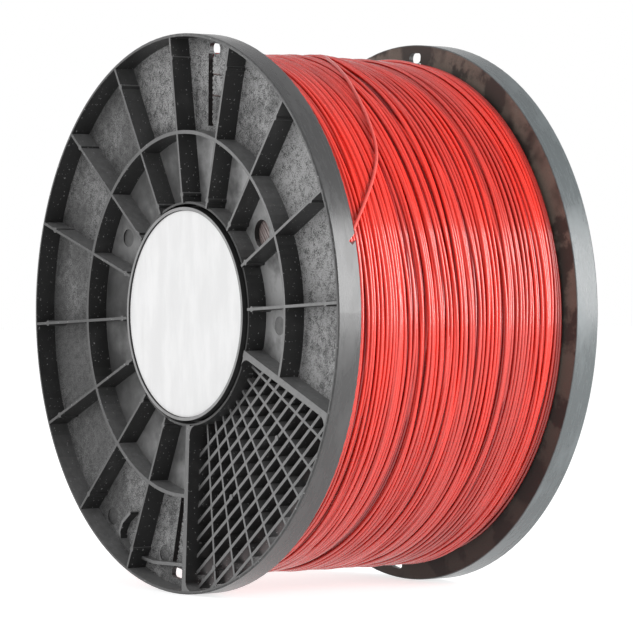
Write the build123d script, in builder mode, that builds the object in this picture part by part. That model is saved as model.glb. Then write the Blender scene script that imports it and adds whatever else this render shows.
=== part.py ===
from build123d import *
import os
from math import atan2, cos, degrees, radians, sin, tan

# A knock-down reel of racket string. Two identical ribbed flanges are turned back to back on a
# plain barrel. A hub insert drops into each flange's collar and carries half of the spindle bore,
# and four long bolts pull the stack together. The string is wound between the flanges, and its
# loose end is tucked through a slit in the near flange's rim.
#
# Frame: the origin is the middle of the reel, on its turning axis. +Y runs along the axis from
# the near flange, which has the label, to the far flange, and +Z is up. A clock angle is 0 at
# the top and grows towards +X. A depth is measured from the near rim's outer plane towards +Y.

# Overall sizes, in millimetres
flange_diameter = 200.0
reel_width = 112.0

# Flange moulding: rim, dished web, ribs and rings
rim_wall = 1.1
rim_round = 0.5
rib_depth = 7.8          # from a rib's edge down to the web, the same at every radius
web_thickness = 1.8
dish_drop = 3.7          # how much deeper the web and the ribs lie at the hub than at the rim
rib_thickness = 1.0
bay_count = 16
first_rib_clock = -2.0
mid_ring_radius = 65.0   # middle of the ring's wall
ring_wall = 1.3

# Hub: collar on the flange, barrel under the string
collar_wall = 0.8
collar_drop = 0.6        # how much lower the collar's edge lies than the ribs' ends
barrel_wall = 2.6
barrel_rib_height = 2.0
barrel_rib_thickness = 2.0
barrel_rib_count = 8

# Grille: an open window between two ribs, filled with a lattice of bars
grille_first_rib = 5     # counted from first_rib_clock
grille_last_rib = 8
grille_frame = 2.4
grille_corner = 4.0
grille_drop = 4.6        # from a rib's edge down to the bars' edges
radial_bars_per_bay = 3
radial_bar = 1.0
chord_bar = 1.2
chord_pitch = 4.89
first_chord_gap = 2.1    # from the hub to the middle of the first chord
chord_clock = 143.0      # the chords lie square to this direction
grille_spoke_turn = -0.6
gate_mark_radius = 1.0
gate_mark_rise = 0.3
gate_marks = [(5, 2.5), (5, 6.5), (8, 8.0)]     # on which chord, and how many spokes along it

# String cleats: toothed slots in the web that a loose end is pulled into
cleat_width = 3.3
cleat_ring_gap = 1.8     # from the mid ring's wall to the slot
cleat_tooth_pitch = 1.7
cleat_tooth_radius = 0.7
cleat_cover = 0.3        # the cuts start this far over the web, and leave what bridges them
cleat_slit_width = 0.6
cleat_slit_length = 4.0
upper_cleat_clock = 7.0
upper_cleat_rim_gap = 5.7
upper_cleat_slits = (0.426, 0.72)    # each cross cut's place, as a share of the slot's length
lower_cleat_clock = 189.4
lower_cleat_rim_gap = 6.2
end_hole_turn = 1.4      # clock angle from a cleat to the middle of its end hole
end_hole_width = 6.9
end_hole_height = 3.8
end_hole_round = 1.5
# A low hooked rib that crosses the lower cleat's end: (gap from the rim's wall, clock)
guard_rib_route = [
    (8.7, 178.0), (5.3, 195.2), (2.6, 203.4), (2.0, 207.3), (3.0, 209.9), (5.3, 211.0), (9.5, 211.0), (15.0, 209.2)
]
guard_rib_wall = 1.2
guard_rib_height = 2.6
guard_rib_foot = 1.3

# Shallow round marks in the web, left by ejector pins, and round pads in the ribs for the others
ejector_marks = [(49.5, 95.0), (56.5, 300.0), (89.8, 194.0), (94.6, 217.3)]     # radius, clock
ejector_mark_diameter = 6.5
ejector_mark_depth = 0.25
rib_pin_radii = (42.8, 91.5)
rib_pin_diameter = 2.0

# Drive hole and the slit that holds the string's end
drive_hole_diameter = 10.0
drive_hole_hub_gap = 2.3
drive_hole_bay = 2       # counted from the first rib
slit_width = 1.8
slit_length = 7.0
slit_inset = 5.6         # how far the slit reaches in from the rim's outside
slit_clock = 75.1
slit_lean = 45.0         # from the axis towards growing clock angles
far_flange_turn = 12.3   # how the far flange is clocked on the barrel

# Hub insert
insert_gap = 1.2         # between the collar and the insert
insert_wall = 1.1
insert_plate = 1.8
insert_lip_depth = 2.9
label_recess = 0.8       # from the lip's edge down to the insert's face
bore_diameter = 52.0
sleeve_wall = 1.6
seat_width = 1.8         # how far the flange's seat reaches in from the insert's skirt
insert_rib_thickness = 1.4

# Label
label_thickness = 0.15
label_gap = 0.2

# Tie bolts, washers and nuts
bolt_count = 4
bolt_diameter = 4.0
bolt_hole_clearance = 0.5
bolt_head_diameter = 7.6
bolt_head_height = 3.1
bolt_key_flats = 2.5
bolt_key_depth = 1.6
bolt_past_nut = 0.3
washer_diameter = 8.0
washer_thickness = 0.8
nut_flats = 7.0
nut_height = 3.2
pocket_clearance = 0.6   # pocket's diameter over the washer's
pocket_head_room = 0.55  # from the insert's face down to a bolt's head
pocket_side_wall = 0.45  # from a pocket to the sleeve, and to the skirt
boss_wall = 1.3
first_bolt_clock = 45.0

# String
string_diameter = 1.25
winding_rim_gap = 6.8    # from the flange's outside down to the top of the winding
winding_end_gap = 0.7
bend_share = 0.45        # the largest arc a corner can have, as a share of its shorter run
# The loose end's route, chosen by hand: each point's height over the winding, its clock, and
# its distance from the plane of the near web's inner face at the rim
tail_route = [
    (1.40, 12.0, 42.0),
    (1.45, 22.5, 36.5),
    (1.40, 33.5, 31.2),
    (1.45, 44.5, 27.4),
    (1.45, 54.0, 24.0),
    (1.45, 60.5, 18.1),
    (1.55, 66.5, 11.0),
    (2.10, 72.2, 3.8),
    (3.40, 76.6, -2.3),
]

# Sizes worked out from the driving dimensions
bolt_hole_diameter = bolt_diameter + bolt_hole_clearance
pocket_diameter = washer_diameter + pocket_clearance
bore_radius = bore_diameter / 2
sleeve_radius = bore_radius + sleeve_wall
skirt_inner = sleeve_radius + pocket_diameter + 2 * pocket_side_wall
insert_radius = skirt_inner + insert_wall
hub_radius = insert_radius + insert_gap + collar_wall   # outside of the collar and of the barrel
flange_radius = flange_diameter / 2
rim_inner = flange_radius - rim_wall
bay_angle = 360 / bay_count
seat_depth = rib_depth + dish_drop
clamp_depth = seat_depth + web_thickness
insert_face_depth = insert_lip_depth + label_recess
seat_bore = skirt_inner - seat_width
bolt_circle = (sleeve_radius + skirt_inner) / 2
under_head_depth = insert_face_depth + pocket_head_room + bolt_head_height
pocket_depth = under_head_depth + washer_thickness
drive_hole_radius = hub_radius + drive_hole_hub_gap + drive_hole_diameter / 2
barrel_length = reel_width - 2 * clamp_depth
winding_radius = flange_radius - winding_rim_gap
rib_start = hub_radius - collar_wall / 2    # the ribs run from inside the collar's wall
rib_end = rim_inner + rim_wall / 2          # to inside the rim's wall
near_face = Plane.XZ.offset(reel_width / 2)


def edge_depth(radius):
    """How deep a rib's edge lies: a cone from the rim's plane down to the hub."""
    return dish_drop * (rim_inner - radius) / (rim_inner - hub_radius)


def axial(depth):
    """Y of a depth."""
    return depth - reel_width / 2


def ring_profile(inner, outer, start, end):
    """Corners of a ring's cross-section whose two faces follow the dish: (radius, Y)."""
    return [
        (inner, axial(start + edge_depth(inner))),
        (outer, axial(start + edge_depth(outer))),
        (outer, axial(end + edge_depth(outer))),
        (inner, axial(end + edge_depth(inner))),
    ]


def rib_clock(index):
    """Clock angle of a rib."""
    return first_rib_clock + index * bay_angle


def spoke(clock, inner, outer):
    """Location of a spoke's middle in a sketch on the flange's face, its length pointing out."""
    middle = (inner + outer) / 2
    place = (middle * sin(radians(clock)), middle * cos(radians(clock)), 0)
    return Location(place, (0, 0, 90 - clock))


def chord_distance(index):
    """Distance from the axis to the middle of a grille chord."""
    return hub_radius + first_chord_gap + index * chord_pitch


def bolt_places():
    """Locations of the bolts in a sketch on a plane across the axis."""
    return PolarLocations(bolt_circle, bolt_count, start_angle=first_bolt_clock)


# The dished web with its rim, its hub collar and the flat seat that the barrel pushes against
with BuildPart() as flange_disc:
    with BuildSketch(Plane.XY) as disc_profile:
        with BuildLine():
            Polyline(
                (flange_radius, axial(0)),
                (rim_inner, axial(0)),
                (rim_inner, axial(rib_depth)),
                (hub_radius, axial(seat_depth)),
                (hub_radius, axial(dish_drop + collar_drop)),
                (hub_radius - collar_wall, axial(dish_drop + collar_drop)),
                (hub_radius - collar_wall, axial(seat_depth)),
                (seat_bore, axial(seat_depth)),
                (seat_bore, axial(clamp_depth)),
                (hub_radius, axial(clamp_depth)),
                (rim_inner, axial(rib_depth + web_thickness)),
                (flange_radius, axial(rib_depth + web_thickness)),
                close=True,
            )
        make_face()
        fillet(disc_profile.vertices().group_by(Axis.X)[-1], rim_round)
    revolve(axis=Axis.Y)

# The grille's window: the sector between two ribs, with rounded corners
window_start = rib_clock(grille_first_rib)
window_end = rib_clock(grille_last_rib)
window_middle = (window_start + window_end) / 2
with BuildSketch(near_face) as sector_plan:
    Circle(rim_inner)
    Circle(hub_radius, mode=Mode.SUBTRACT)
    with BuildLine():
        Polyline(
            (0, 0),
            *[
                (2 * flange_radius * sin(radians(clock)), 2 * flange_radius * cos(radians(clock)))
                for clock in (window_start, window_middle, window_end)
            ],
            close=True,
        )
    make_face(mode=Mode.INTERSECT)
with BuildSketch(near_face) as window_plan:
    add(sector_plan.sketch_local)
    for clock in (window_start, window_end):
        with Locations(spoke(clock, 0, flange_radius)):
            Rectangle(flange_radius, grille_frame, mode=Mode.SUBTRACT)
    fillet(window_plan.vertices(), grille_corner)
with BuildSketch(near_face) as window_reach:
    add(sector_plan.sketch_local)
    offset(amount=rim_wall / 2)

# Ribs, mid ring and window frame, all cut to the same dished edge
with BuildPart() as flange_ribs:
    with BuildSketch(near_face) as rib_plan:
        Circle(mid_ring_radius + ring_wall / 2)
        Circle(mid_ring_radius - ring_wall / 2, mode=Mode.SUBTRACT)
        for index in range(bay_count):
            if not grille_first_rib < index < grille_last_rib:
                framed = index in (grille_first_rib, grille_last_rib)
                with Locations(spoke(rib_clock(index), rib_start, rib_end)):
                    Rectangle(rib_end - rib_start, grille_frame if framed else rib_thickness)
                if not framed:
                    for radius in rib_pin_radii:
                        with Locations(spoke(rib_clock(index), radius, radius)):
                            Circle(rib_pin_diameter / 2)
        add(sector_plan.sketch_local)
        add(window_plan.sketch_local, mode=Mode.SUBTRACT)
    extrude(amount=-clamp_depth)
    with BuildSketch(Plane.XY):
        with BuildLine():
            Polyline(*ring_profile(rib_start, rib_end, 0, rib_depth + web_thickness / 2), close=True)
        make_face()
    revolve(axis=Axis.Y, mode=Mode.INTERSECT)

# The lattice: spokes and straight chords across the window, down to the web's inner face
with BuildPart() as grille:
    with BuildSketch(near_face) as grille_plan:
        spoke_step = bay_angle / radial_bars_per_bay
        first_spoke_clock = window_start + grille_spoke_turn
        for index in range(1, round((window_end - window_start) / spoke_step)):
            with Locations(spoke(first_spoke_clock + index * spoke_step, 0, flange_radius)):
                Rectangle(flange_radius, radial_bar)
        for index in range(int((rim_inner - chord_distance(0)) / chord_pitch) + 1):
            with Locations(spoke(chord_clock, chord_distance(index), chord_distance(index))):
                Rectangle(chord_bar, flange_diameter)
        add(window_reach.sketch_local, mode=Mode.INTERSECT)
    extrude(amount=-clamp_depth)
    with BuildSketch(Plane.XY):
        with BuildLine():
            Polyline(*ring_profile(rib_start, rib_end, grille_drop, rib_depth + web_thickness), close=True)
        make_face()
    revolve(axis=Axis.Y, mode=Mode.INTERSECT)


def cleat_outline(clock, rim_gap, side, slits):
    """Outline of a toothed slot along a radius, with a wider hole at its outer end. The teeth are on
    the side of growing clock angles when side is 1, and each of slits, a share of the slot's
    length, is a cross cut behind them."""
    inner = mid_ring_radius + ring_wall / 2 + cleat_ring_gap
    length = rim_inner - rim_gap - inner
    with BuildSketch(near_face.offset(cleat_cover - rib_depth)) as cleat_plan:
        with Locations(spoke(clock, inner, inner + length)):
            Rectangle(length, cleat_width)
            tooth_count = int(length / cleat_tooth_pitch) - 1
            with Locations((0, -side * cleat_width / 2)):
                with GridLocations(cleat_tooth_pitch, 1, tooth_count, 1):
                    Circle(cleat_tooth_radius, mode=Mode.SUBTRACT)
            for share in slits:
                with Locations(((share - 0.5) * length, -side * (cleat_width + cleat_slit_length) / 2)):
                    Rectangle(cleat_slit_width, cleat_slit_length + 2 * cleat_tooth_radius)
        end_hole_middle = inner + length + end_hole_height / 2
        with Locations(spoke(clock + side * end_hole_turn, end_hole_middle, end_hole_middle)):
            RectangleRounded(end_hole_height, end_hole_width, end_hole_round)
    return cleat_plan.sketch


# One flange moulding, in the near flange's place
with BuildPart() as flange_moulding:
    add(flange_disc.part)
    guard_points = [
        Vector((rim_inner - gap) * sin(radians(clock)), (rim_inner - gap) * cos(radians(clock)))
        for gap, clock in guard_rib_route
    ]
    with BuildSketch(near_face.offset(-rib_depth + guard_rib_height)):
        for start, end in zip(guard_points, guard_points[1:]):
            run = end - start
            with Locations(Location((start + end) / 2, (0, 0, degrees(atan2(run.Y, run.X))))):
                Rectangle(run.length, guard_rib_wall)
            with Locations(end):
                Circle(guard_rib_wall / 2)
    extrude(amount=-(guard_rib_height + guard_rib_foot))
    add(flange_ribs.part)
    extrude(window_plan.sketch, amount=-clamp_depth, mode=Mode.SUBTRACT)
    add(grille.part)
    for chord, spokes_along in gate_marks:
        clock = first_spoke_clock + spokes_along * spoke_step
        radius = chord_distance(chord) / cos(radians(clock - chord_clock))
        with BuildSketch(near_face.offset(gate_mark_rise - grille_drop - edge_depth(radius))):
            with Locations(spoke(clock, radius, radius)):
                Circle(gate_mark_radius)
        extrude(amount=-(gate_mark_rise + rib_depth - grille_drop))
    for radius, clock in ejector_marks:
        with BuildSketch(near_face.offset(-rib_depth - edge_depth(radius) - ejector_mark_depth)):
            with Locations(spoke(clock, radius, radius)):
                Circle(ejector_mark_diameter / 2)
        extrude(amount=2 * ejector_mark_depth, mode=Mode.SUBTRACT)
    upper_cleat = cleat_outline(upper_cleat_clock, upper_cleat_rim_gap, 1, upper_cleat_slits)
    lower_cleat = cleat_outline(lower_cleat_clock, lower_cleat_rim_gap, -1, ())
    extrude(upper_cleat, amount=-clamp_depth, mode=Mode.SUBTRACT)
    extrude(lower_cleat, amount=-clamp_depth, mode=Mode.SUBTRACT)
    drive_hole_clock = rib_clock(drive_hole_bay + 0.5)
    with BuildSketch(near_face):
        with Locations(spoke(drive_hole_clock, drive_hole_radius, drive_hole_radius)):
            Circle(drive_hole_diameter / 2)
    extrude(amount=-clamp_depth, mode=Mode.SUBTRACT)
    web_inner_plane = axial(rib_depth + web_thickness)
    # The slit leans across the rim's inner edge and breaks into the bay behind it
    slit_out = Vector(sin(radians(slit_clock)), 0, cos(radians(slit_clock)))
    slit_start = slit_out * (flange_radius + rim_wall) + Vector(0, web_inner_plane, 0)
    slit_plane = Plane(origin=slit_start, x_dir=(0, -1, 0), z_dir=slit_out)
    with BuildSketch(slit_plane):
        Rectangle(slit_length, slit_width, rotation=slit_lean)
    extrude(amount=-(rim_wall + slit_inset), mode=Mode.SUBTRACT)

# The near flange, and the same moulding turned round and clocked on the barrel's far end
with BuildPart() as near_flange:
    add(flange_moulding.part)

with BuildPart() as far_flange:
    add(flange_moulding.part.rotate(Axis.Z, 180).rotate(Axis.Y, far_flange_turn))

# Barrel: a tube with ribs along its inside, clamped between the two flange seats
with BuildPart() as winding_barrel:
    barrel_end = Plane.XZ.offset(barrel_length / 2)
    with BuildSketch(barrel_end):
        Circle(hub_radius)
        Circle(hub_radius - barrel_wall, mode=Mode.SUBTRACT)
        with PolarLocations(hub_radius - (barrel_wall + barrel_rib_height) / 2, barrel_rib_count):
            Rectangle(barrel_wall + barrel_rib_height, barrel_rib_thickness)
        Circle(hub_radius, mode=Mode.INTERSECT)
    extrude(amount=-barrel_length)

# Hub insert: a recessed face for the label, a skirt inside the collar, half of the spindle
# bore, and a pocket for each bolt's head or nut
with BuildPart() as insert_moulding:
    with BuildSketch(Plane.XY):
        with BuildLine():
            Polyline(
                (bore_radius, axial(insert_face_depth)),
                (skirt_inner, axial(insert_face_depth)),
                (skirt_inner, axial(insert_lip_depth)),
                (insert_radius, axial(insert_lip_depth)),
                (insert_radius, axial(seat_depth)),
                (skirt_inner, axial(seat_depth)),
                (skirt_inner, axial(insert_face_depth + insert_plate)),
                (sleeve_radius, axial(insert_face_depth + insert_plate)),
                (sleeve_radius, 0),
                (bore_radius, 0),
                close=True,
            )
        make_face()
    revolve(axis=Axis.Y)
    back_of_plate = near_face.offset(-insert_face_depth - insert_plate / 2)
    with BuildSketch(back_of_plate):
        with bolt_places():
            Circle(pocket_diameter / 2 + boss_wall)
        with PolarLocations(bolt_circle, bolt_count, start_angle=first_bolt_clock + 180 / bolt_count):
            Rectangle(insert_radius - sleeve_radius, insert_rib_thickness)
        Circle((skirt_inner + insert_radius) / 2, mode=Mode.INTERSECT)
        Circle(sleeve_radius - sleeve_wall / 2, mode=Mode.SUBTRACT)
    extrude(amount=-(seat_depth - insert_face_depth - insert_plate / 2))
    with BuildSketch(near_face.offset(-insert_face_depth)):
        with bolt_places():
            Circle(pocket_diameter / 2)
    extrude(amount=-(pocket_depth - insert_face_depth), mode=Mode.SUBTRACT)
    with BuildSketch(near_face):
        with bolt_places():
            Circle(bolt_hole_diameter / 2)
    extrude(amount=-seat_depth, mode=Mode.SUBTRACT)

with BuildPart() as near_hub_insert:
    add(insert_moulding.part)

with BuildPart() as far_hub_insert:
    add(insert_moulding.part.rotate(Axis.Z, 180))

# Paper label over the near insert's face and the mouth of the spindle bore
with BuildPart() as near_label:
    with BuildSketch(near_face.offset(-insert_face_depth)):
        Circle(skirt_inner - label_gap)
    extrude(amount=label_thickness)

# Tie bolts: heads in the near insert's pockets, shanks through the reel to the far nuts
bolt_end_depth = under_head_depth - nut_height - bolt_past_nut
with BuildPart() as tie_bolts:
    with BuildSketch(near_face.offset(-under_head_depth)):
        with bolt_places():
            Circle(bolt_head_diameter / 2)
    extrude(amount=bolt_head_height)
    fillet(tie_bolts.edges().filter_by(GeomType.CIRCLE).group_by(Axis.Y)[0], bolt_head_height / 3)
    with BuildSketch(near_face.offset(-under_head_depth)):
        with bolt_places():
            Circle(bolt_diameter / 2)
    extrude(amount=-(reel_width - under_head_depth - bolt_end_depth))
    with BuildSketch(near_face.offset(-under_head_depth + bolt_head_height)):
        with bolt_places():
            RegularPolygon(bolt_key_flats / 2, 6, major_radius=False)
    extrude(amount=-bolt_key_depth, mode=Mode.SUBTRACT)


def washer_ring(depth):
    """Washers round the bolts, from a depth towards the middle of the reel, on the near side."""
    with BuildPart() as ring:
        with BuildSketch(near_face.offset(-depth)):
            with bolt_places():
                Circle(washer_diameter / 2)
                Circle(bolt_hole_diameter / 2, mode=Mode.SUBTRACT)
        extrude(amount=-washer_thickness)
    return ring.part


with BuildPart() as bolt_washers:
    add(washer_ring(under_head_depth))

with BuildPart() as nut_washers:
    add(washer_ring(under_head_depth).rotate(Axis.Z, 180))

# Nuts, in the far insert's pockets
with BuildPart() as tie_nuts:
    with BuildSketch(near_face.offset(under_head_depth - reel_width)):
        with bolt_places():
            RegularPolygon(nut_flats / 2, 6, major_radius=False)
            Circle(bolt_diameter / 2, mode=Mode.SUBTRACT)
    extrude(amount=-nut_height)

# The wound string, as one solid that fills the space between the dished flanges
inner_face = rib_depth + web_thickness + winding_end_gap
with BuildPart() as string_winding:
    with BuildSketch(Plane.XY):
        with BuildLine():
            Polyline(
                (hub_radius, axial(inner_face + edge_depth(hub_radius))),
                (winding_radius, axial(inner_face + edge_depth(winding_radius))),
                (winding_radius, -axial(inner_face + edge_depth(winding_radius))),
                (hub_radius, -axial(inner_face + edge_depth(hub_radius))),
                close=True,
            )
        make_face()
    revolve(axis=Axis.Y)

# The string's loose end: straight runs with tangent arcs, over the winding and into the slit
tail_points = [
    Vector(
        (winding_radius + height) * sin(radians(clock)),
        web_inner_plane + distance,
        (winding_radius + height) * cos(radians(clock)),
    )
    for height, clock, distance in tail_route
]
tail_bends = []
for before, corner, after in zip(tail_points, tail_points[1:], tail_points[2:]):
    turn = (corner - before).get_angle(after - corner)
    run = min((corner - before).length, (after - corner).length)
    tail_bends.append(bend_share * run / tan(radians(turn / 2)))
print("string_tail bend radii:", [round(bend, 1) for bend in tail_bends])
with BuildPart() as string_tail:
    with BuildLine() as tail_line:
        FilletPolyline(*tail_points, radius=tail_bends)
    tail_path = tail_line.wire()
    with BuildSketch(Plane(origin=tail_path @ 0, z_dir=tail_path % 0)):
        Circle(string_diameter / 2)
    sweep(path=tail_path)
tail_section = Face(Wire.make_circle(string_diameter / 2)).area
print("string_tail length:", round(tail_path.length, 1), "volume check:",
      round(string_tail.part.volume / (tail_section * tail_path.length), 4))

near_flange.part.label = "near_flange"
far_flange.part.label = "far_flange"
winding_barrel.part.label = "winding_barrel"
near_hub_insert.part.label = "near_hub_insert"
far_hub_insert.part.label = "far_hub_insert"
near_label.part.label = "near_label"
tie_bolts.part.label = "tie_bolts"
bolt_washers.part.label = "bolt_washers"
nut_washers.part.label = "nut_washers"
tie_nuts.part.label = "tie_nuts"
string_winding.part.label = "string_winding"
string_tail.part.label = "string_tail"

os.makedirs("parts", exist_ok=True)
export_step(near_flange.part, "parts/near_flange.step")
export_step(far_flange.part, "parts/far_flange.step")
export_step(winding_barrel.part, "parts/winding_barrel.step")
export_step(near_hub_insert.part, "parts/near_hub_insert.step")
export_step(far_hub_insert.part, "parts/far_hub_insert.step")
export_step(near_label.part, "parts/near_label.step")
export_step(tie_bolts.part, "parts/tie_bolts.step")
export_step(bolt_washers.part, "parts/bolt_washers.step")
export_step(nut_washers.part, "parts/nut_washers.step")
export_step(tie_nuts.part, "parts/tie_nuts.step")
export_step(string_winding.part, "parts/string_winding.step")
export_step(string_tail.part, "parts/string_tail.step")
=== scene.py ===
"""Looks of a reel of red racket string: dusty moulded flanges, a paper label and the wound string.

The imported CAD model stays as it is. Its flanges, barrel, inserts, label and fasteners get materials,
and the solids that stand for the wound string and its loose end are replaced by real turns of string.
"""

from math import cos, pi, radians, sin

import bpy
import numpy as np
from mathutils import Matrix, Vector


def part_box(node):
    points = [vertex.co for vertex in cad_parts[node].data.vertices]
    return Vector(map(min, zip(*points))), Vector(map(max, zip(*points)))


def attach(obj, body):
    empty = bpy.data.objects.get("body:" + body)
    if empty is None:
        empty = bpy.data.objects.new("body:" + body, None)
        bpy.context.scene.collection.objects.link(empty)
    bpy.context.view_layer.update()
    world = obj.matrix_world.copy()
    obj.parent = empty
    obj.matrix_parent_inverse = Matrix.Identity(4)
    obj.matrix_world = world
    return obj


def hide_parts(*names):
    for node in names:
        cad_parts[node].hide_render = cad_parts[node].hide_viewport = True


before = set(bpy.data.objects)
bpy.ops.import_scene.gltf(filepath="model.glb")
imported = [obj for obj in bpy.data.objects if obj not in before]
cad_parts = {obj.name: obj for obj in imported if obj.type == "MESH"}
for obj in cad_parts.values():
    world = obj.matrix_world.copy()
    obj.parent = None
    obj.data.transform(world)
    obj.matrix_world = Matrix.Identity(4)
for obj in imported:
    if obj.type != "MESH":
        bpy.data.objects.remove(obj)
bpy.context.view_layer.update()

MM = 0.001

# Sizes read from the frame, in metres
NEAR_LOW, NEAR_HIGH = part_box("near_flange")
FLANGE_RADIUS = NEAR_HIGH.x
HALF_WIDTH = -NEAR_LOW.y
WOUND_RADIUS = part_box("string_winding")[1].x
BARREL_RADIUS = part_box("winding_barrel")[1].x

# Sizes of the moulding and the string that the frame can't give
STRING_RADIUS = 0.625 * MM
RIM_WALL = 1.1 * MM
RIB_DEPTH = 7.8 * MM        # from the ribs' edges down to the web
WEB = 1.8 * MM              # the web's thickness
GRILLE_DROP = 4.6 * MM      # from the ribs' edges down to the grille's bars
DISH_DROP = 3.7 * MM        # how much deeper the flange lies at the barrel than at the rim
MID_RING_RADIUS = 65 * MM
MARK_RADIUS = 3.25 * MM
# The ejector marks on the web: (radius in mm, clock in degrees)
EJECTOR_MARKS = ((49.5, 95.0), (56.5, 300.0), (89.8, 194.0), (94.6, 217.3))

RIM_INSIDE = FLANGE_RADIUS - RIM_WALL
DISH_SLOPE = DISH_DROP / (RIM_INSIDE - BARREL_RADIUS)


# ---------------------------------------------------------------- camera, floor and light

CAMERA_AZIMUTH = radians(54.97)
CAMERA_ROLL = radians(-0.36)
CAMERA_DISTANCE = 1.1987
CAMERA_TARGET = Vector((0, 0.0051, 0.0002))
CAMERA_LENS = 185.4
FLOOR_HALF_SIDE = 60.0
WHITE = (1, 1, 1, 1)
OVERHEAD_GREY = (0.52, 0.52, 0.53, 1)


def add_object(name, data):
    """An object in the scene that holds the data."""
    made = bpy.data.objects.new(name, data)
    bpy.context.scene.collection.objects.link(made)
    return made


def look_along(azimuth, elevation, roll=0.0):
    """Direction from the middle to a camera or lamp at that azimuth and elevation, and the turn that
    makes it look back at the middle."""
    back = Vector((sin(azimuth) * cos(elevation), -cos(azimuth) * cos(elevation), sin(elevation)))
    turn = back.to_track_quat("Z", "Y").to_matrix().to_4x4()
    return back, turn @ Matrix.Rotation(roll, 4, "Z")


def make_camera():
    """Camera level with the reel's axis, between its near face and its right-hand side."""
    data = bpy.data.cameras.new("camera")
    data.lens = CAMERA_LENS
    data.sensor_width = 36
    data.clip_end = 20
    camera = add_object("camera", data)
    back, turn = look_along(CAMERA_AZIMUTH, 0.0, CAMERA_ROLL)
    camera.matrix_world = Matrix.Translation(CAMERA_TARGET + back * CAMERA_DISTANCE) @ turn
    bpy.context.scene.camera = camera


def softbox(name, azimuth, elevation, distance, width, height, power):
    """A white rectangular lamp that faces the middle of the reel. Angles are in degrees."""
    data = bpy.data.lights.new(name, "AREA")
    data.shape = "RECTANGLE"
    data.size = width
    data.size_y = height
    data.energy = power
    back, turn = look_along(radians(azimuth), radians(elevation))
    add_object(name, data).matrix_world = Matrix.Translation(back * distance) @ turn


def make_floor():
    """A pale, faintly glowing square under the reel."""
    side, z = FLOOR_HALF_SIDE, -FLANGE_RADIUS
    corners = [(-side, -side, z), (side, -side, z), (side, side, z), (-side, side, z)]
    mesh = bpy.data.meshes.new("floor")
    mesh.from_pydata(corners, [], [(0, 1, 2, 3)])
    floor = add_object("floor", mesh)
    material, _, shader = new_finish("floor_white")
    shader.inputs["Base Color"].default_value = (0.55, 0.55, 0.55, 1)
    shader.inputs["Roughness"].default_value = 0.9
    shader.inputs["Emission Color"].default_value = WHITE
    shader.inputs["Emission Strength"].default_value = 0.72
    mesh.materials.append(material)


def make_studio():
    """Pale floor, a surround that is white low down and greyer overhead, and a softbox on each side."""
    make_floor()
    world = bpy.data.worlds.new("studio")
    bpy.context.scene.world = world
    world.use_nodes = True
    wire = Wiring(world.node_tree)
    up = wire.split(wire.node("ShaderNodeTexCoord").outputs["Generated"])[2]
    background = world.node_tree.nodes["Background"]
    wire.feed(background.inputs["Color"], wire.blend(wire.ramp(up, 0.12, 0.75), WHITE, OVERHEAD_GREY))
    background.inputs["Strength"].default_value = 1.0
    softbox("front_left_softbox", azimuth=-35, elevation=20, distance=1.6, width=1.2, height=1.2, power=8)
    softbox("right_softbox", azimuth=118, elevation=12, distance=1.4, width=0.8, height=0.95, power=25)
    bpy.context.scene.view_settings.view_transform = "Standard"


# ---------------------------------------------------------------- material helpers

def new_finish(name):
    """A new material, a Wiring for its nodes, and its shader."""
    material = bpy.data.materials.new(name)
    material.use_nodes = True
    tree = material.node_tree
    return material, Wiring(tree), tree.nodes["Principled BSDF"]


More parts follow.
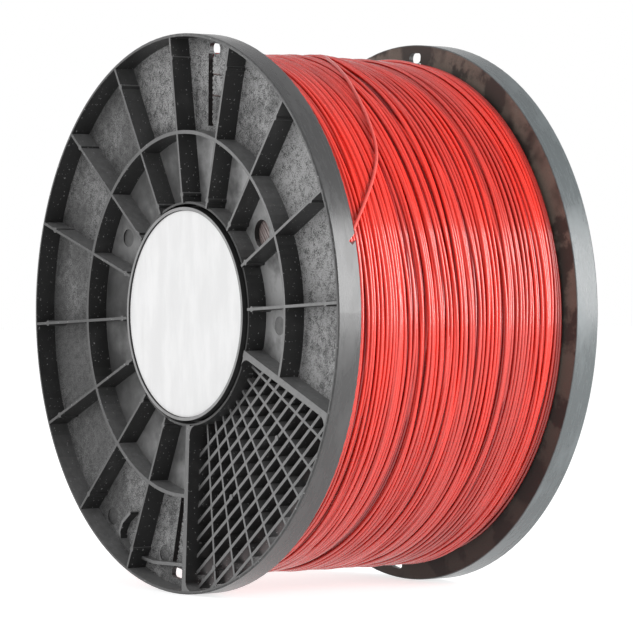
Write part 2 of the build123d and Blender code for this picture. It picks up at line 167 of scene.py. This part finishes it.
class Wiring:
    """Adds nodes to a tree. A number given for an input is set, a socket is linked."""

    def __init__(self, tree):
        self.tree = tree

    def node(self, kind, inputs=None, **settings):
        """A node of that kind, with its settings and its inputs by name or index."""
        made = self.tree.nodes.new(kind)
        for key, value in settings.items():
            setattr(made, key, value)
        for key, value in (inputs or {}).items():
            self.feed(made.inputs[key], value)
        return made

    def feed(self, socket, value):
        """Set or link one input."""
        if isinstance(value, bpy.types.NodeSocket):
            self.tree.links.new(value, socket)
        else:
            socket.default_value = value

    def maths(self, operation, first, second=0.0, third=0.0, clamp=False):
        """One Math node."""
        inputs = {0: first, 1: second, 2: third}
        return self.node("ShaderNodeMath", inputs, operation=operation, use_clamp=clamp).outputs[0]

    def times(self, first, second):
        """The first value times the second."""
        return self.maths("MULTIPLY", first, second)

    def scaled(self, value, factor, offset, clamp=False):
        """The value times a factor, plus an offset."""
        return self.maths("MULTIPLY_ADD", value, factor, offset, clamp)

    def object_place(self):
        """Object coordinates."""
        return self.node("ShaderNodeTexCoord").outputs["Object"]

    def face_direction(self):
        """X, Y and Z of the direction that the face points in."""
        return self.split(self.node("ShaderNodeNewGeometry").outputs["True Normal"])

    def split(self, vector):
        """X, Y and Z of a vector."""
        return self.node("ShaderNodeSeparateXYZ", {0: vector}).outputs

    def joined(self, x, y, z):
        """A vector from three values."""
        return self.node("ShaderNodeCombineXYZ", {0: x, 1: y, 2: z}).outputs[0]

    def noise(self, vector, scale, detail, roughness):
        """Noise from 0 to 1, with scale in cells per metre."""
        inputs = {"Vector": vector, "Scale": scale, "Detail": detail, "Roughness": roughness}
        return self.node("ShaderNodeTexNoise", inputs).outputs["Fac"]

    def ramp(self, value, low, high):
        """A smooth step from 0 at low to 1 at high, where low may be the larger of the two."""
        inputs = {"Value": value, "From Min": low, "From Max": high}
        made = self.node("ShaderNodeMapRange", inputs, interpolation_type="SMOOTHSTEP")
        return made.outputs["Result"]

    def band(self, value, low, high, edge):
        """1 between low and high, falling to 0 within edge outside them."""
        rise = self.ramp(value, low - edge, low)
        fall = self.ramp(value, high, high + edge)
        return self.maths("SUBTRACT", rise, fall, clamp=True)

    def square_on(self, cosine):
        """1 on faces within 14 degrees of a direction, 0 past 32 degrees, from the cosine between them."""
        return self.ramp(cosine, 0.85, 0.97)

    def blend(self, share, first, second):
        """Mix of two colours, the second at a share of 1."""
        made = self.node("ShaderNodeMix", data_type="RGBA")
        self.feed(made.inputs[0], share)
        self.feed(made.inputs[6], first)
        self.feed(made.inputs[7], second)
        return made.outputs[2]

    def bump(self, height, strength, distance):
        """A bump from a height."""
        inputs = {"Height": height, "Strength": strength, "Distance": distance}
        return self.node("ShaderNodeBump", inputs).outputs["Normal"]


def shade_of(tint, level):
    """A colour: the tint times a level."""
    return tuple(level * part for part in tint) + (1,)


def paint(node, material):
    """Give a CAD node one material."""
    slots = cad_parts[node].data.materials
    slots.clear()
    slots.append(material)


# ---------------------------------------------------------------- finishes

def flange_finish(name, side, tint, rim_grey):
    """Dusty black moulded plastic. The walls are dark, lighter where they face up with settled dust and
    painted light from above; the web between the ribs is mottled with dust and stained, the ribs' edges
    and the rim are rubbed grey, and the face towards the string is spotted brown. side is -1 for the
    near flange and 1 for the far one."""
    material, wire, shader = new_finish(name)
    place = wire.object_place()
    x, y, z = wire.split(place)
    normal = wire.face_direction()
    outward = wire.square_on(wire.times(normal[1], side))
    inward = wire.square_on(wire.times(normal[1], -side))
    rightward = wire.ramp(x, -85 * MM, 75 * MM)

    fine = wire.noise(place, scale=2400, detail=3, roughness=0.7)
    grains = wire.noise(place, scale=420, detail=4, roughness=0.65)
    blotch = wire.noise(place, scale=62, detail=5, roughness=0.6)
    stain = wire.noise(place, scale=24, detail=4, roughness=0.6)
    specks = wire.ramp(wire.noise(place, scale=1300, detail=1, roughness=0.4), 0.70, 0.76)

    # How far a place lies below the dished plane of the ribs' edges
    radius = wire.maths("SQRT", wire.maths("ADD", wire.times(x, x), wire.times(z, z)))
    depth = wire.scaled(y, -side, HALF_WIDTH)
    below = wire.maths("ADD", wire.scaled(radius, DISH_SLOPE, -DISH_SLOPE * RIM_INSIDE), depth)

    # The flange's zones, each 1 inside itself and 0 elsewhere
    web = wire.band(below, low=RIB_DEPTH - 0.3 * MM, high=RIB_DEPTH + 0.3 * MM, edge=0.2 * MM)
    web = wire.times(outward, web)
    edges = wire.times(outward, wire.ramp(below, 0.5 * MM, 0.1 * MM))
    bars = wire.band(below, low=GRILLE_DROP - 0.7 * MM, high=GRILLE_DROP + 0.3 * MM, edge=0.1 * MM)
    bars = wire.times(outward, bars)
    back = wire.times(inward, wire.ramp(below, RIB_DEPTH + 0.5 * WEB, RIB_DEPTH + 0.9 * WEB))
    rim = wire.ramp(radius, FLANGE_RADIUS - 0.4 * MM, FLANGE_RADIUS - 0.1 * MM)
    lip = wire.ramp(radius, RIM_INSIDE - 0.3 * MM, RIM_INSIDE)
    outer_bay = wire.ramp(radius, MID_RING_RADIUS - 1 * MM, MID_RING_RADIUS + 1 * MM)

    clean_black = shade_of(tint, 0.020)
    dust_grey = shade_of(tint, 0.29)
    rubbed_grey = shade_of(tint, 0.20)

    # Web: grainy dust outside the mid ring and smooth dust inside it, thinner in the stains, on the
    # ejector marks and towards the left
    mottle = wire.ramp(wire.scaled(grains, 0.35, wire.times(fine, 0.65)), 0.40, 0.60)
    inner_bay = wire.maths("SUBTRACT", 1.0, outer_bay)
    dust = wire.scaled(inner_bay, wire.ramp(blotch, 0.2, 0.75), wire.times(mottle, outer_bay))
    unstained = wire.ramp(wire.scaled(rightward, 0.08, stain), 0.45, 0.60)
    dust = wire.times(dust, wire.scaled(unstained, 0.62, 0.38))
    flat_place = wire.joined(x, 0.0, z)
    for mark_radius, clock in EJECTOR_MARKS:
        middle = (mark_radius * MM * sin(radians(clock)), 0.0, mark_radius * MM * cos(radians(clock)))
        offset = wire.node("ShaderNodeVectorMath", {0: flat_place, 1: middle}, operation="DISTANCE")
        beside = wire.ramp(offset.outputs["Value"], MARK_RADIUS - 0.2 * MM, MARK_RADIUS + 0.2 * MM)
        dust = wire.times(dust, wire.scaled(beside, 0.55, 0.45))
    dust = wire.times(dust, wire.scaled(rightward, 1.2, 0.6))
    web_colour = wire.blend(dust, shade_of(tint, 0.040), dust_grey)

    # Walls: black with worn clouds and pale specks, lighter where they face up: settled dust and painted
    # light from above
    wall_colour = wire.blend(wire.ramp(blotch, 0.5, 0.8), clean_black, shade_of(tint, 0.044))
    dust_and_top_light = wire.times(wire.ramp(normal[2], 0.25, 0.8), wire.scaled(grains, 0.9, 0.35, clamp=True))
    wall_colour = wire.blend(dust_and_top_light, wall_colour, shade_of(tint, 0.21))
    wall_colour = wire.blend(specks, wall_colour, dust_grey)
    colour = wire.blend(web, wall_colour, web_colour)

    # Edges of the ribs and bars of the grille: rubbed, more so on the right and less on the rim's lip
    worn = wire.scaled(grains, 0.6, 0.45, clamp=True)
    edges = wire.times(edges, wire.scaled(rightward, 0.75, 0.12))
    edges = wire.times(edges, wire.scaled(lip, -0.55, 1.0))
    colour = wire.blend(wire.times(edges, worn), colour, rubbed_grey)
    colour = wire.blend(wire.times(bars, wire.times(worn, 0.8)), colour, rubbed_grey)

    # Face towards the string: brown dust with dark spots, darker low down
    dusty = wire.times(wire.ramp(blotch, 0.40, 0.52), wire.ramp(stain, 0.38, 0.50))
    dusty = wire.maths("MAXIMUM", dusty, 0.2)
    dusty = wire.times(dusty, wire.scaled(wire.ramp(z, -75 * MM, 40 * MM), 0.8, 0.2))
    brown = wire.blend(fine, (0.06, 0.048, 0.038, 1), (0.22, 0.185, 0.150, 1))
    colour = wire.blend(back, colour, wire.blend(dusty, (0.014, 0.010, 0.009, 1), brown))

    # Rim: long scratches round it and broad scuffs on the rim_grey colour, which on the far flange holds a
    # painted reflection
    turn = wire.times(wire.maths("ARCTAN2", x, z), FLANGE_RADIUS)
    along_rim = wire.joined(wire.times(turn, 0.12), y, 0.0)
    scratches = wire.noise(along_rim, scale=900, detail=5, roughness=0.75)
    across_rim = wire.joined(turn, wire.times(y, 3.0), 0.0)
    scuffs = wire.noise(across_rim, scale=45, detail=5, roughness=0.65)
    scratched = wire.times(wire.ramp(scratches, 0.5, 0.75), 0.35)
    rubbed = wire.scaled(wire.ramp(scuffs, 0.45, 0.7), 0.45, scratched)
    rim_colour = wire.blend(rubbed, shade_of(rim_grey, 0.8), shade_of(rim_grey, 1.45))
    wire.feed(shader.inputs["Base Color"], wire.blend(rim, colour, rim_colour))

    roughness = wire.scaled(wire.maths("MAXIMUM", web, back), 0.35, 0.42)
    roughness = wire.scaled(rim, wire.scaled(rubbed, 0.22, -0.16), roughness)
    wire.feed(shader.inputs["Roughness"], roughness)

    height = wire.times(wire.scaled(outer_bay, 0.7, 0.3), grains)
    height = wire.times(height, wire.maths("MAXIMUM", web, 0.15))
    height = wire.scaled(wire.times(rim, scratches), 0.15, height)
    wire.feed(shader.inputs["Normal"], wire.bump(height, strength=0.5, distance=0.35 * MM))
    return material


def insert_finish():
    """Black moulded plastic of the hub inserts and the barrel, greyer on the faces that get rubbed."""
    material, wire, shader = new_finish("insert_plastic")
    place = wire.object_place()
    cloud = wire.noise(place, scale=120, detail=4, roughness=0.6)
    fine = wire.noise(place, scale=1400, detail=3, roughness=0.6)
    facing = wire.square_on(wire.maths("ABSOLUTE", wire.face_direction()[1]))
    rubbed = wire.times(facing, wire.scaled(cloud, 0.8, 0.3, clamp=True))
    colour = wire.blend(rubbed, (0.018, 0.018, 0.018, 1), (0.30, 0.30, 0.30, 1))
    wire.feed(shader.inputs["Base Color"], colour)
    wire.feed(shader.inputs["Roughness"], wire.scaled(cloud, 0.2, 0.42))
    wire.feed(shader.inputs["Normal"], wire.bump(fine, strength=0.3, distance=0.1 * MM))
    return material


def paper_finish():
    """Uncoated white paper: fine fibres and a few faint upright smudges."""
    material, wire, shader = new_finish("label_paper")
    place = wire.object_place()
    x, y, z = wire.split(place)
    upright = wire.joined(x, y, wire.times(z, 0.25))
    smudge = wire.noise(upright, scale=150, detail=4, roughness=0.6)
    fibre = wire.noise(place, scale=2600, detail=4, roughness=0.7)
    share = wire.scaled(wire.ramp(smudge, 0.35, 0.7), 0.6, wire.times(fibre, 0.25))
    wire.feed(shader.inputs["Base Color"], wire.blend(share, (0.66, 0.66, 0.66, 1), (0.77, 0.77, 0.77, 1)))
    shader.inputs["Roughness"].default_value = 0.85
    wire.feed(shader.inputs["Normal"], wire.bump(fibre, strength=0.25, distance=0.05 * MM))
    return material


def steel_finish():
    """Zinc plated steel, faintly cloudy."""
    material, wire, shader = new_finish("zinc_steel")
    cloud = wire.noise(wire.object_place(), scale=700, detail=3, roughness=0.6)
    wire.feed(shader.inputs["Base Color"], wire.blend(cloud, (0.42, 0.43, 0.45, 1), (0.62, 0.62, 0.60, 1)))
    shader.inputs["Metallic"].default_value = 1.0
    wire.feed(shader.inputs["Roughness"], wire.scaled(cloud, 0.25, 0.25))
    return material


def string_finish(name, base, pale):
    """Smooth monofilament between two shades. Its tone attribute and a slow noise choose the shade
    along each turn. Painted shade darkens it low on the reel, and a painted shadow darkens it beside the
    far flange."""
    material, wire, shader = new_finish(name)
    place = wire.object_place()
    _, y, z = wire.split(place)
    tone = wire.node("ShaderNodeAttribute", attribute_name="tone").outputs["Fac"]
    slow = wire.noise(place, scale=70, detail=3, roughness=0.6)
    fine = wire.noise(place, scale=3000, detail=2, roughness=0.6)
    share = wire.scaled(slow, 0.6, wire.scaled(tone, 0.7, -0.15), clamp=True)
    # Painted shade: the string darkens towards the bottom of the reel, and a painted shadow of the far
    # flange darkens its last few millimetres beside it
    unshaded_share = wire.scaled(wire.ramp(z, -85 * MM, 25 * MM), 0.28, 0.72)
    unshaded_share = wire.times(unshaded_share, wire.scaled(wire.ramp(y, 44 * MM, 39 * MM), 0.6, 0.4))
    colour = wire.blend(unshaded_share, (0.03, 0.002, 0.002, 1), wire.blend(share, base, pale))
    wire.feed(shader.inputs["Base Color"], colour)
    wire.feed(shader.inputs["Roughness"], wire.scaled(fine, 0.12, 0.2))
    shader.inputs["IOR"].default_value = 1.53
    shader.inputs["Coat Weight"].default_value = 0.6
    shader.inputs["Coat Roughness"].default_value = 0.08
    return material


# ---------------------------------------------------------------- string meshes

def string_object(name, data):
    """An object of the string, which rides on the reel's one body."""
    piece = add_object(name, data)
    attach(piece, "root")
    return piece


def tube_grid(path, sides):
    """Grid of a tube round a path: at each point of the path, a circle of the string's radius in the
    plane across the path, starting from the direction away from the reel's axis."""
    tangent = np.gradient(path, axis=0)
    tangent /= np.linalg.norm(tangent, axis=1, keepdims=True)
    outward = path * np.array([1.0, 0.0, 1.0])
    outward /= np.linalg.norm(outward, axis=1, keepdims=True)
    outward -= np.sum(outward * tangent, axis=1, keepdims=True) * tangent
    outward /= np.linalg.norm(outward, axis=1, keepdims=True)
    sideways = np.cross(tangent, outward)
    angle = (np.arange(sides) * 2 * pi / sides)[None, :, None]
    ring = np.cos(angle) * outward[:, None, :] + np.sin(angle) * sideways[:, None, :]
    return path[:, None, :] + STRING_RADIUS * ring


def tube_faces(count, sides):
    """Faces of a closed tube of count rings: a quad between each two neighbours on one ring and the
    next, and a fan from the first and the last ring to a middle point that follows the rings."""
    ring = np.arange(count - 1)[:, None] * sides
    side = np.arange(sides)[None, :]
    after = (side + 1) % sides
    corners = [ring + side, ring + after, ring + sides + after, ring + sides + side]
    quads = np.stack(corners, axis=-1).reshape(-1, 4)
    spot = np.arange(sides)
    following = (spot + 1) % sides
    last_ring = (count - 1) * sides
    first_middle, last_middle = count * sides, count * sides + 1
    start = np.stack([following, spot, np.full(sides, first_middle)], axis=-1)
    end = np.stack([last_ring + spot, last_ring + following, np.full(sides, last_middle)], axis=-1)
    return quads, np.concatenate([start, end])


def string_piece(name, paths, tones, material, sides=8):
    """One mesh with a closed tube along each path, and a tone attribute for each tube."""
    points, quads, fans, tone = [], [], [], []
    base = 0
    for path, shade in zip(paths, tones):
        grid = tube_grid(path, sides).reshape(-1, 3)
        tube_quads, tube_fans = tube_faces(len(path), sides)
        points.append(np.concatenate([grid, path[:1], path[-1:]]))
        quads.append(tube_quads + base)
        fans.append(tube_fans + base)
        tone.append(np.full(len(grid) + 2, shade))
        base += len(grid) + 2
    mesh = bpy.data.meshes.new(name)
    faces = np.concatenate(quads).tolist() + np.concatenate(fans).tolist()
    mesh.from_pydata(np.concatenate(points).tolist(), [], faces)
    attribute = mesh.attributes.new("tone", "FLOAT", "POINT")
    attribute.data.foreach_set("value", np.concatenate(tone).astype(np.float32))
    mesh.shade_smooth()
    mesh.materials.append(material)
    return string_object(name, mesh)


def ring_piece(name, inner, outer, profile_y, material):
    """A closed ring round the axis. Its section has its outside at the outer radius along profile_y,
    its inside at the inner radius and its two ends joined, and each point of the section is carried
    round the axis in even steps."""
    steps = 180
    ends_y = np.array([profile_y[-1], profile_y[0]]) * end_room(inner) / end_room(outer)
    radii = np.concatenate([np.full(len(profile_y), outer), [inner, inner]])
    ys = np.concatenate([profile_y, ends_y])
    clock = (np.arange(steps) * 2 * pi / steps)[:, None]
    points = on_reel(radii[None, :], clock, ys[None, :]).reshape(-1, 3)
    count = len(ys)
    row = np.arange(steps)[:, None] * count
    next_row = (row + count) % (steps * count)
    spot = np.arange(count)[None, :]
    after = (spot + 1) % count
    corners = [row + spot, row + after, next_row + after, next_row + spot]
    mesh = bpy.data.meshes.new(name)
    mesh.from_pydata(points.tolist(), [], np.stack(corners, axis=-1).reshape(-1, 4).tolist())
    mesh.materials.append(material)
    return string_object(name, mesh)


# ---------------------------------------------------------------- paths of the wound string

PITCH = 1.26 * MM                   # from one turn to the next
TOP = WOUND_RADIUS - STRING_RADIUS  # middle of the string in the outermost turns
CORE_DROP = 2.4 * MM                # from TOP down to the core's outside
UNDER_DROP = 0.85 * MM              # from TOP down to the layer of even turns
CROSSING_TURNS = 34

# Steps in one turn of each kind
BUNDLE_STEPS = 132
UNDER_STEPS = 120
RING_STEPS = 96

# Wandering of all turns along the axis: (size, how fast the wave's phase changes along the axis, per metre)
DRIFT_WAVES = ((1.3 * MM, 22), (0.8 * MM, 47), (0.4 * MM, -95))

# The raised place that the loose end comes out of
HUMP_HEIGHT = 1.7 * MM
HUMP_CLOCK = radians(11)
HUMP_SPREAD = radians(9)
HUMP_Y = -4.5 * MM
HUMP_WIDTH = 4.5 * MM

# How the ends of a bundle go under the turns below
DIVE_ANGLE = radians(24)
DIVE_DEPTH = 1.9 * MM


def on_reel(radius, clock, y):
    """Points at a radius, a clock angle in radians and a place along the axis: X is the radius times
    the sine of the clock angle, and Z the radius times its cosine."""
    return np.stack([radius * np.sin(clock), y + 0 * clock, radius * np.cos(clock)], axis=-1)


def waves(clock, rng, sizes):
    """Sum of one sine wave for each size, with 1, 2, 3 and so on periods round the reel, each between
    half and all of its size and with its own phase."""
    total = np.zeros_like(clock)
    for periods, size in enumerate(sizes, start=1):
        total += size * rng.uniform(0.5, 1.0) * np.sin(periods * clock + rng.uniform(0, 2 * pi))
    return total


def end_room(radius):
    """Half of the space along the axis between the dished flanges at that radius: the half width
    less the ribs, the web and the dish's slope times the distance in from the rim."""
    return HALF_WIDTH - RIB_DEPTH - WEB - DISH_SLOPE * (RIM_INSIDE - radius)


def drift(clock, y, phases):
    """How far the turns near y wander along the axis: sines with 1, 2 and 3 periods round the reel,
    whose phases change steadily along the axis."""
    total = np.zeros_like(clock)
    for periods, ((size, twist), phase) in enumerate(zip(DRIFT_WAVES, phases), start=1):
        total += size * np.sin(periods * clock + twist * y + phase)
    return total


def hump(clock, y):
    """Height of the raised place: a bell curve of the clock angle times a bell curve of Y."""
    turn = np.angle(np.exp(1j * (clock - HUMP_CLOCK)))
    return HUMP_HEIGHT * np.exp(-((turn / HUMP_SPREAD) ** 2) - ((y - HUMP_Y) / HUMP_WIDTH) ** 2)


def bundle_path(rng, middle, turns, spacing, radius, phases, limit, slant=0.0, wander=0.45 * MM):
    """Some neighbouring turns of string: a helix that moves on by the spacing and the slant in each
    turn. It drifts along the axis with its neighbours and wanders a little by itself, its radius
    rises and falls slowly, and both ends dive under the turns below by a squared ramp. The waves on
    1.31 and 1.37 times the clock angle differ from one turn to the next."""
    start = rng.uniform(0, 2 * pi)
    clock = start + np.linspace(0, 2 * pi * turns, int(BUNDLE_STEPS * turns) + 1)
    count = (clock - start) / (2 * pi)
    y = middle + (spacing + slant) * (count - turns / 2)
    y = y + drift(clock, middle, phases)
    y += waves(clock * 1.31, rng, (wander, wander, 0.6 * wander, 0.5 * wander))
    y = np.clip(y, -limit, limit)
    lift = waves(clock, rng, (0.14 * MM, 0.10 * MM, 0.08 * MM))
    lift += waves(clock * 1.37, rng, (0.06 * MM, 0.05 * MM))
    from_end = np.minimum(clock - clock[0], clock[-1] - clock)
    dive = np.clip(1 - from_end / DIVE_ANGLE, 0, 1) ** 2 * DIVE_DEPTH
    return on_reel(radius + lift + hump(clock, y) - dive, clock, y)


def under_layer_path(rng, room):
    """One even helix from end to end: Y goes up by a pitch in each turn, with two slow waves, and the
    radius stays within a tenth of a millimetre."""
    turns = 2 * room / PITCH
    clock = np.linspace(0, 2 * pi * turns, int(UNDER_STEPS * turns))
    y = -room + PITCH * clock / (2 * pi) + waves(clock, rng, (0.3 * MM, 0.2 * MM))
    radius = TOP - UNDER_DROP + waves(clock, rng, (0.05 * MM, 0.05 * MM))
    return on_reel(radius, clock, np.clip(y, -room, room))


def bundles_side_by_side(rng, room, phases):
    """Paths and tones of bundles of one to five turns, from the near end to the far one, at slightly
    different heights and with an overlap, no gap or a groove after each."""
    paths, tones = [], []
    y = -room
    while y < room - PITCH:
        turns = int(rng.integers(1, 6))
        spacing = PITCH * rng.uniform(0.97, 1.07)
        height = float(np.clip(rng.normal(0.0, 0.20), -0.4, 0.5)) * MM
        gap = rng.choice([-0.3, 0.0, 0.35, 0.8], p=[0.25, 0.35, 0.3, 0.1]) * MM
        middle = y + turns * spacing / 2
        paths.append(bundle_path(rng, middle, turns, spacing, TOP + height, phases, room))
        tones.append(rng.uniform(0.0, 1.0))
        y += turns * spacing + gap
    return paths, tones


def crossing_turns(rng, room, phases):
    """Paths and tones of single turns, or parts of one, that slant over the bundles either way."""
    paths, tones = [], []
    for _ in range(CROSSING_TURNS):
        middle = rng.uniform(-room + 5 * MM, room - 5 * MM)
        length = rng.uniform(0.35, 1.1)
        slant = rng.choice([-1, 1]) * rng.uniform(1.5, 6.0) * MM
        radius = TOP + rng.uniform(0.55, 0.85) * MM
        paths.append(bundle_path(rng, middle, length, 0.0, radius, phases, room, slant, 0.6 * MM))
        tones.append(rng.uniform(0.3, 1.0))
    return paths, tones


def end_rings(rng, side):
    """Paths and tones of the turns that lie against a flange: circles one pitch apart, from the barrel
    to just under the outermost turns, each a little way off the dished flange."""
    clock = np.linspace(0, 2 * pi, RING_STEPS + 1)
    paths, tones = [], []
    for radius in np.arange(BARREL_RADIUS + STRING_RADIUS, TOP - 2 * MM, PITCH):
        y = side * (end_room(radius) - STRING_RADIUS - rng.uniform(0.05, 0.35) * MM)
        paths.append(on_reel(radius + waves(clock, rng, (0.0, 0.1 * MM, 0.1 * MM)), clock, y))
        tones.append(rng.uniform(0.0, 1.0))
    return paths, tones


# ---------------------------------------------------------------- the string's pieces

def make_winding():
    """The wound string: a core, a layer of even turns, bundles of turns with grooves between them,
    single turns that cross over them, and the rings of turns at both ends."""
    rng = np.random.default_rng(23)
    red = string_finish("string_red", (0.42, 0.028, 0.020, 1), (0.76, 0.022, 0.007, 1))
    # A darker copy of the red string for the core and the layer under the bundles: painted shade in the
    # gaps between the bundles
    red_in_painted_shade = string_finish("string_deep_red", (0.28, 0.004, 0.003, 1), (0.40, 0.008, 0.006, 1))
    dusty_red = string_finish("string_dusty", (0.20, 0.15, 0.14, 1), (0.34, 0.28, 0.27, 1))
    room = end_room(WOUND_RADIUS) - STRING_RADIUS - 0.3 * MM
    phases = rng.uniform(0, 2 * pi, 3)

    core_radius = TOP - CORE_DROP
    core_end = end_room(core_radius) - 2.2 * STRING_RADIUS
    profile_y = np.linspace(-core_end, core_end, 60)
    core = ring_piece("string_core", BARREL_RADIUS, core_radius, profile_y, red_in_painted_shade)
    string_piece("string_under_layer", [under_layer_path(rng, room)], [0.3], red_in_painted_shade, sides=6)

    paths, tones = bundles_side_by_side(rng, room, phases)
    half = len(paths) // 2
    near_turns = string_piece("string_near_turns", paths[:half], tones[:half], red)
    string_piece("string_far_turns", paths[half:], tones[half:], red)
    string_piece("string_crossing_turns", *crossing_turns(rng, room, phases), red)
    string_piece("string_near_end_rings", *end_rings(rng, -1), dusty_red, sides=6)
    string_piece("string_far_end_rings", *end_rings(rng, 1), dusty_red, sides=6)
    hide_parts("string_winding")
    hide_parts("string_winding")


# The loose end: (radius, clock, Y) of each point of its route, in millimetres and degrees
TAIL_ROUTE = [
    (94.60, 12.0, -4.4),
    (94.65, 22.5, -9.9),
    (94.60, 33.5, -15.2),
    (94.65, 44.5, -19.0),
    (94.65, 54.0, -22.4),
    (94.65, 60.5, -28.3),
    (94.75, 66.5, -35.4),
    (95.30, 72.2, -42.6),
    (96.60, 76.6, -48.7),
]


def make_tail():
    """The string's loose end, pulled tight over the winding and up to the slit at the near rim."""
    data = bpy.data.curves.new("string_loose_end", "CURVE")
    data.dimensions = "3D"
    data.bevel_depth = STRING_RADIUS
    data.bevel_resolution = 4
    data.resolution_u = 12
    data.use_fill_caps = True
    points = [
        Vector((radius * sin(radians(clock)), y, radius * cos(radians(clock)))) * MM
        for radius, clock, y in TAIL_ROUTE
    ]
    spline = data.splines.new("NURBS")
    spline.points.add(len(points) - 1)
    for point, place in zip(spline.points, points):
        point.co = (*place, 1)
    spline.order_u = 3
    spline.use_endpoint_u = True
    data.materials.append(string_finish("string_end_red", (0.60, 0.05, 0.04, 1), (0.80, 0.16, 0.12, 1)))
    tail = string_object("string_loose_end", data)
    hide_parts("string_tail")


NEUTRAL = (1.0, 1.0, 1.0)
COOL = (0.95, 1.0, 1.0)
BLACK_RIM = (0.050, 0.050, 0.050)
# The far rim's colour: the same black plastic, lightened and turned blue-grey by a painted reflection
FAR_RIM_PAINTED_REFLECTION = (0.095, 0.108, 0.111)

make_camera()
make_tail()
make_studio()
paint("near_flange", flange_finish("near_flange_plastic", -1, NEUTRAL, BLACK_RIM))
paint("far_flange", flange_finish("far_flange_plastic", 1, COOL, FAR_RIM_PAINTED_REFLECTION))
moulded = insert_finish()
for node in ("near_hub_insert", "far_hub_insert", "winding_barrel"):
    paint(node, moulded)
paint("near_label", paper_finish())
steel = steel_finish()
for node in ("tie_bolts", "bolt_washers", "nut_washers", "tie_nuts"):
    paint(node, steel)
make_winding()
